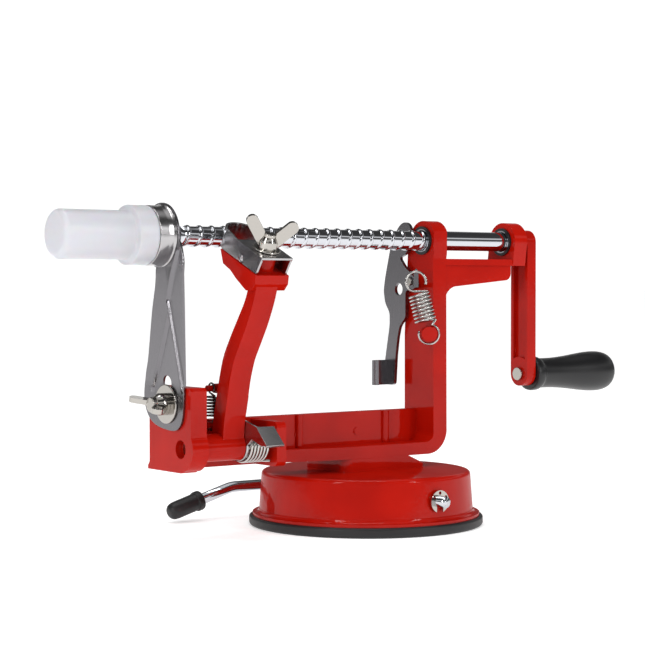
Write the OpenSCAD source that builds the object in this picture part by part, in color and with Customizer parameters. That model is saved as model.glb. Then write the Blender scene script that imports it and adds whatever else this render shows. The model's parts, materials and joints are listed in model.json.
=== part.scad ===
// Hand-cranked apple peeler, corer and slicer on a suction base.
// The origin is the centre of the suction cup's underside. +X runs along the
// drive shaft towards the crank, -Y points to the user and +Z is up.

/* [Suction base] */
// Outer diameter of the rubber suction cup
cup_d = 100; // [96:1:110]
// Height of the rubber rim
cup_h = 4.2; // [3:0.2:6]
// Distance of the steel cover's wall from the cup's rim
cover_inset = 5.3; // [4.6:0.1:6.6]
// Height of the cover's top above the table
cover_z = 23.2; // [21:0.2:28]
// Sheet thickness of the cover
cover_wall = 2.6; // [1.6:0.2:3.2]
// Length of the pedestal that carries the frame, at its top
pedestal_l = 34.4; // [32:0.4:40]
// Width of the pedestal
pedestal_w = 30; // [26:1:34]

/* [Suction lever] */
// Diameter of the bent steel rod
rod_d = 4.8; // [4:0.2:5.4]
// Height of the rod's axis inside the base
rod_z = 13.5; // [12.5:0.1:14.5]
// Distance of the rod's axis to the crank side of the base's centre
rod_x = 2; // [0:0.5:8]
// Offset of the crank throw in the middle of the rod
throw_e = 1.5; // [1:0.1:1.8]
// Length of the level stretch of the rod behind the base
rod_run = 32.8; // [30:0.4:37.2]
// Downward slope of the outer end of the rod, in degrees
rod_dip = 16; // [8:1:17]
// Length of the rubber end piece
lever_grip_l = 17; // [14:1:24]
// Diameter of the rubber end piece
lever_grip_d = 7.6; // [6.6:0.2:8]

/* [Frame casting] */
// Height of the drive shaft's axis above the table
shaft_z = 121.4; // [118:0.2:126]
// Distance of the column's inner face from the base's centre
column_x = 31.5; // [29:0.5:34]
// Thickness of the column, the ears and the end block along the shaft
column_t = 7.5; // [6.5:0.1:9]
// Width of the column
column_w = 20; // [18:0.5:22]
// Distance between the inner faces of the two ears
ear_pitch = 46.7; // [42:0.1:50]
// Radius of the rounded ears
ear_r = 8.6; // [8.4:0.1:9.5]
// Height of the lower bar's underside above the table
bar_z = 28.6; // [27.6:0.2:30]
// Height of the lower bar
bar_h = 19; // [17:0.5:22]
// Thickness of the bar's web
web_t = 4.2; // [3.5:0.1:5]
// Thickness of the bar's lower flange
flange_t = 5.2; // [4.6:0.2:6]
// Distance of the end block's outer face from the base's centre
block_x = 97.5; // [94:0.5:101]
// Width of the end block
block_w = 31; // [29:0.5:34]
// Height of the end block
block_h = 33.8; // [32:0.2:36]

/* [Drive shaft] */
// Outer diameter of the thread
thread_d = 9; // [8.4:0.1:9.6]
// Depth of the thread
thread_h = 0.5; // [0.3:0.05:0.7]
// Lead of the single-start right-hand thread
thread_lead = 5.75; // [5:0.05:6.5]
// Number of turns of thread
thread_turns = 22; // [18:1:23]
// Turns of the crank that carry the shaft all the way back
travel_turns = 18; // [14:1:19]
// Diameter of the plain part of the shaft
journal_d = 8.6; // [8:0.1:9]

/* [Crank] */
// Distance from the shaft to the grip's axis
crank_r = 60; // [54:1:66]
// Width of the crank arm
crank_w = 11; // [10:0.5:13]
// Thickness of the crank arm
crank_t = 5.2; // [4.4:0.2:6]
// Length of the grip without its collar
grip_l = 45; // [40:1:50]
// Length of the grip's collar
grip_collar_l = 6.5; // [5:0.5:8]
// Largest diameter of the grip
grip_d = 18.6; // [16:0.2:21]
// Diameter of the pin that carries the grip
grip_pin_d = 5; // [4:0.2:6]

/* [Thread release] */
// Thickness of the release lever
lever_t = 1.5; // [1.2:0.1:1.7]
// Distance of the lever's pivot behind the shaft's axis
pivot_y = 5.9; // [5.4:0.1:6.6]
// Distance of the lever's pivot below the shaft's axis
pivot_drop = 17.9; // [16.5:0.1:19]
// Diameter of the lever's rivet
pivot_d = 3; // [2.6:0.1:3.4]

/* [Springs] */
// Wire diameter of the release spring
wire_d = 1.05; // [0.9:0.05:1.1]
// Mean coil radius of the release spring
coil_r = 4.3; // [4:0.05:4.5]
// Pitch of the coils of the release spring
coil_pitch = 1.55; // [1.55:0.05:1.7]
// Wire diameter of the arm's spring
arm_wire_d = 0.8; // [0.65:0.05:0.8]
// Mean coil radius of the arm's spring
arm_coil_r = 2.5; // [2.3:0.1:2.7]
// Pitch of the coils of the arm's spring
arm_coil_pitch = 1.25; // [1.25:0.05:1.35]
// Wire diameter of the latch's torsion spring
torsion_wire_d = 1.1; // [0.9:0.05:1.15]
// Mean coil radius of the latch's torsion spring
torsion_r = 6.5; // [6.2:0.1:6.8]
// Number of turns of the torsion spring
torsion_turns = 6; // [4:1:6]

/* [Corer and slicer] */
// Thickness of the slicing plate
plate_t = 1; // [0.8:0.1:1.4]
// Outer radius of the plate's round head
head_r = 13; // [12.6:0.1:14]
// Outer radius of the coring tube
corer_r = 10.2; // [9.8:0.1:10.4]
// Wall of the coring tube
corer_wall = 0.8; // [0.6:0.1:1]
// Length of the coring tube in front of the plate
corer_l = 14; // [10:0.5:16]
// Diameter of the clamping bolt
bolt_d = 6; // [5:0.2:6.4]
// Height of the clamping bolt above the end block's foot
bolt_rise = 27; // [25.6:0.2:28]

/* [Safety cap] */
// Length of the cap
cap_l = 40; // [38:1:44]
// Diameter of the cap's slim part
cap_d = 19.2; // [18.4:0.2:19.6]
// Diameter of the cap's wide mouth
cap_mouth_d = 23.6; // [23:0.2:24]
// Wall of the cap
cap_wall = 1.2; // [0.8:0.1:1.3]

/* [Peeler arm] */
// Distance of the arm's axle in front of the shaft's axis
axle_y = 6.6; // [6:0.1:7.2]
// Height of the axle above the table
axle_z = 37.2; // [36.6:0.1:38]
// Diameter of the axle
axle_d = 6; // [5:0.2:6.4]
// Width of the arm along the axle
arm_w = 10; // [9:0.2:10.6]
// Outer radius of the arm's hub
hub_r = 5.6; // [5.2:0.1:6]
// Clear space between the end block and the arm
arm_gap = 9.7; // [9.4:0.1:10.4]
// Upward tilt of the arm's head, in degrees
head_tilt = 23.4; // [20:0.2:26]

/* [Peeling blade] */
// Width of the blade over its side walls
blade_w = 14.7; // [14.1:0.2:15.3]
// Length of the blade from its open front to its round end
blade_l = 33.6; // [31:0.2:34]
// Sheet thickness of the blade
blade_t = 0.9; // [0.7:0.1:1.2]
// Height of the blade's side walls
blade_h = 7.4; // [6.6:0.2:8]

/* [Hidden] */

$fn = 64;

// Clearances shared by every piece
over = 1;            // overrun of every cut
run_gap = 0.05;      // radial running fit
slip_gap = 0.1;      // flat faces that slide on each other
free_gap = 0.3;      // pieces that pass each other

// Colours of the pieces
red_enamel = "#b01a0e";
chrome = "#c9ccd0";
steel = "#9c9b98";
black_rubber = "#232325";
frosted = "#e4e4f0";

// Places along the shaft
block_x0 = -block_x;
block_x1 = block_x0 + column_t;
ear_x1 = column_x + column_t;
right_ear_x0 = column_x + ear_pitch;
right_ear_x1 = right_ear_x0 + column_t;

// Suction base
flange_lip = 1.5;                       // how far the rubber rim stands out
cover_foot_r = cup_d / 2 - flange_lip;  // radius of the cover's rolled foot
cover_r = cup_d / 2 - cover_inset;
cover_draft = 1.2;                      // how much wider the wall is at its foot
cover_edge_r = 1.8;                     // rounding of the cover's top edge
foot_t = 1.2;                           // thickness of the rolled foot
foot_fillet_share = 0.6;                // of the foot's width
foot_fillet_r = (cover_foot_r - cover_r - cover_draft) * foot_fillet_share;
cup_disc_h = 3.2;                       // thickness of the cup inside its rim
cup_boss_r = 12;
cup_boss_h = 3;
pedestal_skew = 10.5;                   // run of the pedestal's sloping crank end
pedestal_x0 = -17;
pedestal_edge_r = 4.5;
frame_y = 2.4;                          // middle of the column behind the shaft

// Plunger that pulls the middle of the cup up
plunger_w = 15;
plunger_depth = 11;
plunger_foot_r = 8.5;
plunger_foot_h = 1.6;
plunger_roof = 0.9;
throw_play = 0.45;                      // play of the throw in the plunger's slot
throw_l = plunger_depth + 2 * throw_play;

// Suction lever
rod_r = rod_d / 2;
rod_bend_r = 3.2;
rod_curve_r = 18;                       // the gentle bend on the way out
rod_bend_steps = 9;
rod_curve_steps = 4;
rod_sides = 24;
rod_y = cover_r + cover_draft + rod_bend_r;         // where the rod runs behind the cover
rod_out_l = 14;                         // sloping stretch before the rubber end
rod_in_grip = 12;                       // stretch of the rod inside the rubber end
clip_t = 0.9;
clip_r = 4.6;
clip_mouth = 3.4;
clip_notch_r = 0.7;
clip_notch_at = 3.5;
clip_y = -cover_r - cover_draft - clip_t - slip_gap;
rod_tail = 3.6;                         // rod end that shows past the clip
grip_collar_t = 3;
grip_collar_rise = 0.5;

// Frame casting
column_y0 = frame_y - column_w / 2;
column_y1 = frame_y + column_w / 2;
column_taper = 2.2;                     // the back edge leans in towards the ear
web_y0 = 4.2;
web_y1 = web_y0 + web_t;
bar_top_z = bar_z + bar_h;
corner_r = 10.5;                        // outer rounding below the column
corner_in_r = 4;                        // inner rounding below the column
flange_end_y = 1.2;                     // the flange's front edge at the end block
rail_flange_t = 2.8;
rail_drop = 10.8;
rail_z = shaft_z - rail_drop;           // underside of the rail's flange
rail_web_h = 9.2;                       // depth of the rail's web at the column
rail_web_end_h = 6.6;                   // and at its round end
rail_web_inset = 1.4;                   // how far the rail's web lies behind its flange
rail_fillet_r = 7;
rail_end_r = 3.4;
rail_end_gap = 7.8;
rib_r = 1.8;
rib_x_shares = [-0.28, 0.31];           // the web's two round ribs, as shares of ear_pitch + column_x
rib_foot = 4.2;                         // ribs stop this far above the bar's underside
mark_r = 1.7;
mark_t = 0.4;
mark_x_shares = [-0.42, -0.02];
mark_z_share = 0.56;
post_yaw = 36.5;                        // the spring post leans out to the front left
post_r = 3.2;
post_l = 12;
post_drop = 40.6;                       // the post's depth below the shaft's axis
post_z = shaft_z - post_drop;
post_y = -3.5;
block_y0 = frame_y - block_w / 2 - 1;
block_y1 = block_y0 + block_w;
block_drop = 0.8;                       // the end block reaches this far below the bar
block_z0 = bar_z - block_drop;
block_top_z = block_z0 + block_h;
block_chamfer = 2.5;
foot_flare = 1.2;
foot_flare_h = 3;
boss_r = 9;                             // boss round the axle on the end block
axle_hole_r = 3.7;                      // open mouth of the axle's hole
axle_mouth_l = 3;
axle_ear_t = 4.6;
axle_ear_r = 7.8;                       // reach of the ear in front of the axle
axle_ear_edge_r = 2.6;
axle_ear_drop = 0.8;
axle_x0 = block_x0 + axle_mouth_l;
screw_r = 1.75;
screw_l = 4.4;
screw_head_r = 3.2;
screw_head_h = 2;
screw_x_shares = [-0.3, 0.3];           // of the pedestal's length
screw_front = 3.6;
screw_y = frame_y - screw_front;

// Bushes and sleeves
sleeve_wall = 0.5;
sleeve_r0 = thread_d / 2 + run_gap;
sleeve_r1 = sleeve_r0 + sleeve_wall;
bush_r0 = sleeve_r1 + run_gap;
bush_wall = 0.6;
bush_r1 = bush_r0 + bush_wall;
bush_lip = 0.5;
bush_lip_t = 1;

// Drive shaft
shaft_core_r = thread_d / 2 - thread_h;
journal_r = journal_d / 2;
thread_crest_w = 1;
thread_foot_w = 1.9;
thread_sink = 0.35;                     // the ridge starts inside the core
thread_sides = 16;
thread_end_gap = 2;
thread_end_x = column_x - thread_end_gap;
thread_start_x = thread_end_x - thread_turns * thread_lead;
shaft_neck_l = 5;                       // plain stretch between the fork and the thread
shaft_start_x = thread_start_x - shaft_neck_l;
travel = travel_turns * thread_lead;

// Crank
crank_gap = 0.5;
crank_x0 = right_ear_x1 + bush_lip_t + crank_gap;
crank_hub_t = 1.5;                      // hub stands proud of the arm towards the ear
crank_arm_x = crank_x0 + crank_hub_t;
crank_x1 = crank_arm_x + crank_t;
crank_rim = 1.7;
crank_pocket = 1.6;
crank_solid = 2.2;                      // solid stretch past each end of the pocket
grip_z = shaft_z - crank_r;
grip_x0 = crank_x1 + free_gap;
grip_x1 = grip_x0 + grip_collar_l + grip_l;
pin_head_r = 2.9;
pin_head_t = 1.4;
pin_in_grip = 40;
grip_neck_share = 0.73;                 // of the grip's largest diameter
grip_collar_share = 0.84;
// The collar as shares of its height and of the neck's radius, the bulb as shares of the
// grip's length and of the way from the neck's radius to the bulb's, the end as shares of both
grip_collar_shares = [[0, -0.125], [0.1, 0], [0.62, 0], [0.8, -0.125]];
grip_bulb_shares = [[0.26, 0], [0.38, 0.16], [0.5, 0.42], [0.62, 0.74], [0.72, 0.94], [0.8, 1],
    [0.87, 0.92], [0.94, 0.55]];
grip_end_shares = [[0.985, 0.72], [1, 0.35]];

// Thread release lever, a plate between the column and the spring
lever_gap = 1.1;                        // between the lever and the column
lever_x1 = column_x - lever_gap;
lever_x0 = lever_x1 - lever_t;
pivot_z = shaft_z - pivot_drop;
pivot_head_r = 1.9;
pivot_head_t = 0.9;
pivot_in = 5;
lever_nose_gap = 0.2;
lever_hole_r = 2.7;
lever_hole_at = [7.6, -3.4];            // from the rivet
lever_tab_at = [17.2, -46];             // from the rivet
lever_nose_from = thread_d / 2 + lever_nose_gap;
// The plate's outline, from the nose's edge next to the thread at the shaft's height
lever_nose = [[0, 3], [0.5, 5.4], [2, 7.4], [4.2, 8.3], [6.8, 7.8], [9.4, 5.8], [12.4, 1.8], [15, -4],
    [17, -11]];
lever_hook = [[5, -6.5], [0, -2]];
// and from the rivet
lever_plate = [[17.3, 1.4], [18.3, -4], [17.2, -9.6], [14, -13.9], [14, -19.6], [17.2, -34.8],
    [17.2, -46], [10.8, -46], [9.8, -32.8], [8.4, -24.4], [6.9, -19.6], [2.9, -16], [2.9, -4],
    [-3.8, -3.2], [-4.3, 0.4], [-1.6, 3.2], [3.2, 6.2], [7.2, 10.6]];
lever_tab_l = 8.5;
lever_tab_h = 11;
lever_bend_r = 2;
lever_corner_r = 1.6;
finger_l = 9.5;
finger_w = 2;
finger_up = 8;
finger_tip_share = 0.3;                 // of its width, at its tip
finger_at = [-2.9, -1.6];               // from the rivet

// Release spring, hung in a plane that faces the front left
spring_out = 9;                         // distance of its plane from the lever's pin line
release_coils = 8;
spring_foot = [column_x, post_y, post_z];
front_left = [-sin(post_yaw), -cos(post_yaw), 0];
plane_right = [cos(post_yaw), -sin(post_yaw), 0];
release_low = spring_foot + spring_out * front_left;
release_lean = 5.6;                     // the upper loop hangs this far to the left
release_rise = 22.6;
release_top = release_low - release_lean * plane_right + [0, 0, release_rise];

// Corer and slicer
plate_x1 = block_x0 - slip_gap;
plate_x0 = plate_x1 - plate_t;
plate_lean = 3.8;                       // the head stands this far out of the mounting face
head_x0 = plate_x0 - plate_lean;
head_x1 = head_x0 + plate_t;
bolt_y = 1.5;
bolt_z = block_z0 + bolt_rise;
slot_low = 2.75;                        // the slot's ends below and above the bolt
slot_high = 8.25;
slot_gap = 0.1;
plate_corner_r = 4;
plate_flat_z = block_top_z + 2;         // the plate is flat below this height
head_flat_z = shaft_z - head_r - 2;     // and flat again above this one
flare_r = 12.7;
flare_l = 3;
band_r = 11.9;                          // band that the cap butts against
band_l = 7;
ring_lip = 1.2;
washer_r = 7.8;
washer_t = 1;
bolt_head_r = 6;
bolt_head_t = 2.4;
bolt_crown_share = 0.6;                 // of the head's radius, at its crown
bolt_tail = 1.8;
nut_r = 4.4;
nut_h = 5;
wing_l = 11;
wing_h = 11;
wing_t = 2;
wing_r = 2.4;
nut_gap = 0.1;
nut_band_share = 0.55;                  // of a wing nut's height
nut_top_share = 0.72;                   // of its radius
corer_nut_turn = 78;

// Safety cap
cap_x1 = head_x0 - band_l - slip_gap;
cap_x0 = cap_x1 - cap_l;
cap_mouth_l = 9.2;
cap_dome_r = 1.6;
cap_step = 1;
cap_fit_l = corer_l - band_l + free_gap; // the mouth fits the coring tube this far

// Fork
fork_hub_r = 5;
fork_hub_l = 6;
fork_x1 = shaft_start_x;
fork_x0 = fork_x1 - fork_hub_l;
tine_r = 1;
tine_ring_r = 5.4;
tine_l = 31;
tine_tip_l = 5;
tine_count = 3;
spider_t = 2.4;

// Peeler arm
arm_x0 = block_x1 + arm_gap;
arm_x1 = arm_x0 + arm_w;
hub_x0 = block_x1 + slip_gap;
hub_x1 = arm_x1 + 0.1;
axle_r = axle_d / 2;
// Side view of the arm: up its back from the axle, its top from the blade's front, and down again
arm_back = [[4.4, 0], [3, 10.8], [0.8, 18.9], [-1.6, 28], [-4.4, 36.6], [-10.4, 45.6], [-15.6, 52.6],
    [-20.2, 59]];
arm_top = [[9.9, -9.1], [4.3, -8.5]];
arm_front = [[-26.2, 58.9], [-21.2, 49.1], [-14.4, 38.6], [-12, 35], [-9, 27], [-7, 17.8], [-4.6, 8],
    [-4.4, 0]];
arm_corner_r = 4;
lug_t = 2;                              // thickness of the lugs that hold the arm's spring
lug_r = 1.9;
peg_r = 1.3;
peg_l = 3.4;
arm_hook_r = 2.1;
arm_hook_run = 0.9;                     // from each loop to the coils
arm_spring_in = 1.6;
arm_spring_x = arm_x0 + arm_spring_in;
arm_spring_coils = 7;
arm_spring_l = arm_spring_coils * arm_coil_pitch + 2 * (arm_hook_r + arm_hook_run);
arm_spring_back = 6.6;                  // behind the axle
arm_spring_rise = 23.2;                 // and above it
arm_spring_y = -axle_y + arm_spring_back;
arm_spring_top = [arm_spring_x, arm_spring_y, axle_z + arm_spring_rise];
arm_spring_low = arm_spring_top - [0, 0, arm_spring_l];
lug_x = arm_spring_x + arm_wire_d + free_gap;

// Latch lever and its spring
latch_t = 1.2;
latch_x0 = hub_x1 + slip_gap;
latch_x1 = latch_x0 + latch_t;
latch_hub_r = 6;
latch_tab_l = 7.5;
latch_corner_r = 1.2;
// Outlines from the axle
latch_tab_low = [-20, 1.4];
latch_tab_high = [-12.6, 8.4];
latch_finger = [[-1, 6], [-3.4, 11], [-6, 20.4], [-4.6, 21.6], [-2.8, 21], [-0.2, 11], [2.6, 5.4], [0, 0]];
latch_arm = [[-3.6, 10.6], [-12.6, 8.4], [-20, 1.4], [-16.4, 0.8], [-9.6, 3.2], [-5.6, 0], [0, 0]];
torsion_leg = [[6.8, 0.6]];             // from the lowest point of the coils
torsion_end = [[-6, 0.4]];
axle_ear_gap = 1.2;
torsion_gap = 0.46;
torsion_pitch = torsion_wire_d + torsion_gap;
torsion_x0 = latch_x1 + torsion_wire_d / 2 + slip_gap;
torsion_l = torsion_turns * torsion_pitch;
axle_ear_x0 = torsion_x0 + torsion_l + torsion_wire_d + axle_ear_gap;
axle_ear_x1 = axle_ear_x0 + axle_ear_t;

// Head of the arm and the blade, in the head's own tilted frame: u runs back
// along the blade and v stands square to its top plate
blade_end_gap = 8.7;                    // from the shaft's axis to the blade's round end
blade_end_rise = 4.2;                   // and above it
head_front = [-blade_end_gap - blade_l * cos(head_tilt),
    shaft_z + blade_end_rise - blade_l * sin(head_tilt)];
blade_x0 = arm_x0 - 0.9;
blade_x1 = blade_x0 + blade_w;
blade_mid_x = blade_x0 + blade_w / 2;
blade_plate_l = 19;
blade_rise = 1.6;                       // the round end stands above the top plate
blade_loop_r = blade_w / 2;
blade_bolt_u = 8.5;
blade_bolt_r = 2.5;
blade_bolt_drop = 5;                    // the stud's shank below the blade's walls
blade_bolt_rise = 1.4;                  // and above its nut
blade_bow = 1.6;                        // the walls' lower edge starts this far back
blade_slot_l = 10;
head_w = blade_w + 1;
head_boss_r = 4.6;
// Side of the head under the blade, in the head's frame
head_side = [[0.6, 0], [27.6, 0], [23.6, -4.6], [17.8, -5], [13.2, -6.4], [8.2, -7.4], [4.6, -8],
    [1.2, -6.6], [-0.2, -3.4]];
blade_washer_r = 5.6;
blade_washer_t = 0.9;
small_nut_r = 3.9;
small_nut_h = 4.6;
small_wing_l = 10.4;
small_wing_h = 12.2;
blade_nut_turn = -25;

// Helpers: rods and plates along the axes
module rod_along_x(x, y, z, l, r) {
    translate([x, y, z]) rotate([0, 90, 0]) cylinder(h = l, r = r);
}

module rod_along_y(x, y, z, l, r) {
    translate([x, y, z]) rotate([-90, 0, 0]) cylinder(h = l, r = r);
}

// Extrudes an outline drawn in Y and Z along +X
module slab_x(x, t) {
    translate([x, 0, 0]) rotate([90, 0, 90]) linear_extrude(t) children();
}

// Extrudes an outline drawn in X and Z along +Y
module slab_y(y, t) {
    translate([0, y + t, 0]) rotate([90, 0, 0]) linear_extrude(t) children();
}

// A bar of the given width whose ends are round
module stadium(a, b, r) {
    d = b - a;
    turn = atan2(d.y, d.x);
    translate(a) circle(r);
    translate(b) circle(r);
    translate(a) rotate(turn) translate([0, -r]) square([norm(d), 2 * r]);
}

// Rounds every corner of an outline, by at most r and never past the middle of an edge
corner_shares = [0, 1 / 3, 2 / 3, 1];
function softened(p, r) = [for (i = [0 : len(p) - 1])
    let (
        b = p[i],
        a = p[(i + len(p) - 1) % len(p)],
        c = p[(i + 1) % len(p)],
        from = b + (a - b) * min(r / norm(a - b), 0.45),
        to = b + (c - b) * min(r / norm(c - b), 0.45)
    )
    for (t = corner_shares) from * (1 - t) ^ 2 + 2 * b * t * (1 - t) + to * t ^ 2];

// Wire swept along points, as one closed tube of triangles
function unit(v) = v / norm(v);
function tangents(p) = [for (i = [0 : len(p) - 1])
    unit(p[min(i + 1, len(p) - 1)] - p[max(i - 1, 0)])];
function square_to(n, t) = unit(n - (n * t) * t);
function normals(t, first) = [for (i = 0, n = square_to(first, t[0]); i < len(t);
    i = i + 1, n = i < len(t) ? square_to(n, t[i]) : n) n];
function ring(p, t, n, r, sides) = [for (k = [0 : sides - 1])
    p + r * (cos(360 * k / sides) * n + sin(360 * k / sides) * cross(t, n))];

module wire(p, r, first, sides = 6) {
    t = tangents(p);
    n = normals(t, first);
    rings = [for (i = [0 : len(p) - 1]) ring(p[i], t[i], n[i], r, sides)];
    points = [for (loop = rings) for (q = loop) q];
    last = (len(p) - 1) * sides;
    walls = [for (i = [0 : len(p) - 2]) for (k = [0 : sides - 1])
        let (a = i * sides + k, b = i * sides + (k + 1) % sides)
        each [[a, b, a + sides], [b, b + sides, a + sides]]];
    caps = [for (k = [1 : sides - 2])
        each [[0, k + 1, k], [last, last + k, last + k + 1]]];
    polyhedron(points, concat(walls, caps));
}

// Points of an extension spring between two loop centres. The coils lie on the
// line between the loops, and both loops face along out.
coil_rings = 8;
function spring_points(low, top, coils, out, loop_r, r, pitch) =
    let (
        axis = unit(top - low),
        side = unit(cross(out, axis)),
        face = cross(axis, side),
        mid = (low + top) / 2,
        coil_l = coils * pitch,
        base = mid - axis * coil_l / 2,
        low_loop = [for (i = [0 : coil_rings])
            let (a = -300 + 300 * i / coil_rings)
            low + loop_r * (cos(a) * axis + sin(a) * side)],
        helix = [for (i = [0 : coils * coil_rings])
            let (a = 360 * i / coil_rings)
            base + axis * coil_l * i / (coils * coil_rings)
                + r * (cos(a) * side * -1 + sin(a) * face * -1)],
        top_loop = [for (i = [0 : coil_rings])
            let (a = 180 - 300 * i / coil_rings)
            top + loop_r * (cos(a) * axis + sin(a) * side * 1)]
    )
    concat(low_loop, helix, top_loop);

// Least distance between stretches of a wire that aren't neighbours
function least_gap(p, d, skip) = min([for (i = [0 : len(p) - 1])
    for (j = [i + skip : 1 : len(p) - 1]) norm(p[i] - p[j])]) - d;

// Suction base
module suction_cup() {
    color(black_rubber) {
        rotate_extrude($fn = 128) polygon([
            [0, 0], [cup_d / 2 - flange_lip / 2, 0], [cup_d / 2, flange_lip / 2],
            [cup_d / 2, cup_h - flange_lip / 3], [cup_d / 2 - flange_lip / 3, cup_h],
            [cover_r - cover_wall, cup_h], [cover_r - cover_wall, cup_disc_h],
            [cup_boss_r, cup_disc_h], [cup_boss_r, cup_disc_h + cup_boss_h],
            [0, cup_disc_h + cup_boss_h]]);
    }
}

module cover_profile() {
    difference() {
        union() {
            polygon([[0, cup_h], [cover_r + cover_draft, cup_h],
                [cover_r, cover_z - cover_edge_r], [cover_r - cover_edge_r, cover_z],
                [0, cover_z]]);
            intersection() {
                translate([cover_r - cover_edge_r, cover_z - cover_edge_r])
                    circle(cover_edge_r);
                translate([0, cup_h]) square([cup_d, cover_z]);
            }
            translate([0, cup_h]) square([cover_foot_r, foot_t]);
            difference() {
                translate([0, cup_h + foot_t])
                    square([cover_r + cover_draft + foot_fillet_r, foot_fillet_r]);
                translate([cover_r + cover_draft + foot_fillet_r, cup_h + foot_t + foot_fillet_r])
                    circle(foot_fillet_r);
            }
        }
        polygon([[-over, cup_h - over], [cover_r + cover_draft - cover_wall, cup_h - over],
            [cover_r - cover_wall, cover_z - cover_wall], [-over, cover_z - cover_wall]]);
    }
}

module pedestal_block() {
    x1 = pedestal_x0 + pedestal_l;
    y0 = column_y0;
    z0 = cover_z - cover_wall / 2;
    intersection() {
        slab_y(y0, pedestal_w) polygon([[pedestal_x0, z0], [x1 + pedestal_skew, z0],
            [x1 + pedestal_skew, cover_z + flange_lip / 2], [x1, bar_z], [pedestal_x0, bar_z]]);
        translate([0, 0, z0]) linear_extrude(bar_z - z0) union() {
            translate([pedestal_x0 + pedestal_edge_r, y0])
                square([pedestal_l + pedestal_skew - 2 * pedestal_edge_r, pedestal_w]);
            translate([pedestal_x0, y0 + pedestal_edge_r])
                square([pedestal_l + pedestal_skew, pedestal_w - 2 * pedestal_edge_r]);
            for (x = [pedestal_x0 + pedestal_edge_r, x1 + pedestal_skew - pedestal_edge_r],
                 y = [y0 + pedestal_edge_r, y0 + pedestal_w - pedestal_edge_r])
                translate([x, y]) circle(pedestal_edge_r);
        }
    }
}

module at_screws() {
    for (share = screw_x_shares)
        translate([pedestal_x0 + pedestal_l / 2 + share * pedestal_l, screw_y, 0]) children();
}

module base_housing() {
    color(red_enamel) difference() {
        union() {
            rotate_extrude($fn = 128) cover_profile();
            pedestal_block();
        }
        rod_along_y(rod_x, -cup_d, rod_z, 2 * cup_d, rod_r + run_gap);
        at_screws() translate([0, 0, cover_z - cover_wall - over])
            cylinder(h = bar_z, r = screw_r + run_gap);
        at_screws() translate([0, 0, cover_z - cover_wall - over])
            cylinder(h = over + screw_head_h, r = screw_head_r + free_gap);
    }
}

module cup_plunger() {
    slot_w = rod_d + 2 * throw_e + 2 * throw_play;
    slot_z0 = rod_z - throw_e - rod_r - throw_play;
    slot_h = rod_d + 2 * throw_play;
    foot_z = cup_disc_h + cup_boss_h + slip_gap;
    top_z = slot_z0 + slot_h + plunger_roof;
    color(steel) difference() {
        union() {
            translate([rod_x, 0, foot_z]) cylinder(h = plunger_foot_h, r = plunger_foot_r);
            translate([rod_x - plunger_w / 2, -plunger_depth / 2, foot_z])
                cube([plunger_w, plunger_depth, top_z - foot_z]);
        }
        translate([rod_x - slot_w / 2, -plunger_depth, slot_z0])
            cube([slot_w, 2 * plunger_depth, slot_h]);
    }
}

// The bent rod: a throw inside the base, one bend behind it and a gentle curve on the way out
rod_out_x = rod_x - rod_bend_r - rod_run;
rod_tip = [rod_out_x - rod_curve_r * sin(rod_dip) - (rod_out_l + rod_in_grip) * cos(rod_dip), rod_y,
    rod_z - rod_curve_r * (1 - cos(rod_dip)) - (rod_out_l + rod_in_grip) * sin(rod_dip)];
rod_path = concat(
    [[rod_x, clip_y - rod_tail, rod_z], [rod_x, -throw_l / 2 - throw_e, rod_z],
        [rod_x, -throw_l / 2, rod_z - throw_e], [rod_x, throw_l / 2, rod_z - throw_e],
        [rod_x, throw_l / 2 + throw_e, rod_z]],
    [for (i = [0 : rod_bend_steps]) let (a = 90 * i / rod_bend_steps)
        [rod_x - rod_bend_r * (1 - cos(a)), rod_y - rod_bend_r * (1 - sin(a)), rod_z]],
    [for (i = [0 : rod_curve_steps]) let (a = rod_dip * i / rod_curve_steps)
        [rod_out_x - rod_curve_r * sin(a), rod_y, rod_z - rod_curve_r * (1 - cos(a))]],
    [rod_tip]);

module lever_rod() {
    color(chrome) wire(rod_path, rod_r, [0, 0, 1], rod_sides);
}

// Places children on the sloping end of the rod, z = 0 where the rubber end begins
module at_rod_end() {
    translate([rod_out_x, rod_y, rod_z - rod_curve_r]) rotate([0, -rod_dip, 0])
        translate([0, 0, rod_curve_r]) rotate([0, -90, 0]) translate([0, 0, rod_out_l]) children();
}

module lever_grip() {
    r = lever_grip_d / 2;
    color(black_rubber) at_rod_end() rotate_extrude() difference() {
        union() {
            square([r, lever_grip_l - r]);
            translate([0, lever_grip_l - r]) intersection() {
                circle(r);
                square(r);
            }
            square([r + grip_collar_rise, grip_collar_t]);
        }
        translate([-over, -over]) square([rod_r + over, rod_in_grip + over]);
    }
}

// Retaining ring with a mouth and three round notches
module lever_clip() {
    color(chrome) slab_y(clip_y, clip_t) translate([rod_x, rod_z]) difference() {
        circle(clip_r);
        circle(rod_r + run_gap);
        translate([-clip_mouth / 2, -clip_r - over]) square([clip_mouth, clip_r + over]);
        for (turn = [30, 90, 150])
            rotate(turn) translate([clip_notch_at, 0]) circle(clip_notch_r);
    }
}

// Frame casting
module column_outline() {
    polygon([[column_y0, bar_z], [column_y1, bar_z], [column_y1, post_z],
        [column_y1 - column_taper, shaft_z - ear_r / 2], [ear_r, shaft_z],
        [-ear_r, shaft_z], [column_y0 + column_taper / 4, shaft_z - ear_r]]);
    translate([0, shaft_z]) circle(ear_r);
}

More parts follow.
